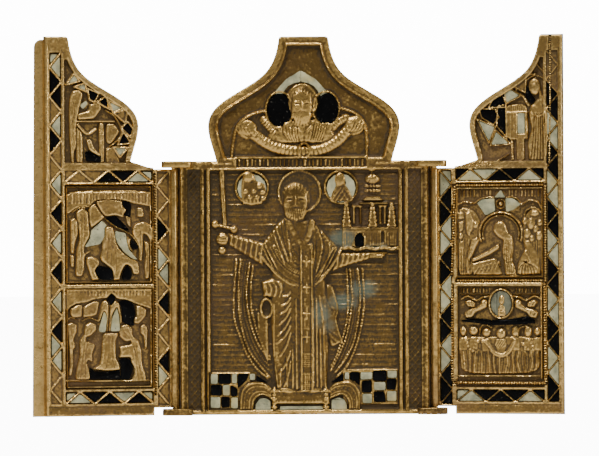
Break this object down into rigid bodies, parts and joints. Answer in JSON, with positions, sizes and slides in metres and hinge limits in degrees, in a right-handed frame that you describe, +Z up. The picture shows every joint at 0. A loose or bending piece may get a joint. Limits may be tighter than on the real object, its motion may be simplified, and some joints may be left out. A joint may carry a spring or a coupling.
{
  "type": "folding altarpiece",
  "caption": "Folding cast brass altarpiece with an ogee-headed centre leaf, enamel fills and two wings on vertical hinge pins that shut over it.",
  "frame": {"origin": "in the underside of the centre leaf's foot, midway between its sides and 1.2 mm in front of its flat back", "axes": "+X to the viewer's right, -Y is the front, +Z up"},
  "size_m": [0.1978, 0.0154, 0.1413],
  "materials": {
    "cast_brass": "worn and patinated cast copper alloy",
    "enamel_black": "opaque black vitreous enamel, glossy and slightly pitted",
    "enamel_white": "opaque greenish white vitreous enamel, slightly pitted"
  },
  "bodies": {
    "centre": {"centre_leaf": "cast_brass", "enamel_oval_left": "enamel_black", "enamel_oval_right": "enamel_black", "enamel_gate": "enamel_black", "enamel_medal_left": "enamel_white", "enamel_medal_right": "enamel_white"},
    "left": {"left_wing": "cast_brass"},
    "right": {"right_wing": "cast_brass"}
  },
  "joints": [
    {"name": "left_wing_hinge", "type": "hinge", "parent": "centre", "child": "left", "pos_m": [-0.0487, -0.0031, 0.0474], "axis": [0, 0, 1], "range_deg": [-14, 166]},
    {"name": "right_wing_hinge", "type": "hinge", "parent": "centre", "child": "right", "pos_m": [0.0487, -0.0031, 0.0474], "axis": [0, 0, -1], "range_deg": [-14, 166]}
  ]
}
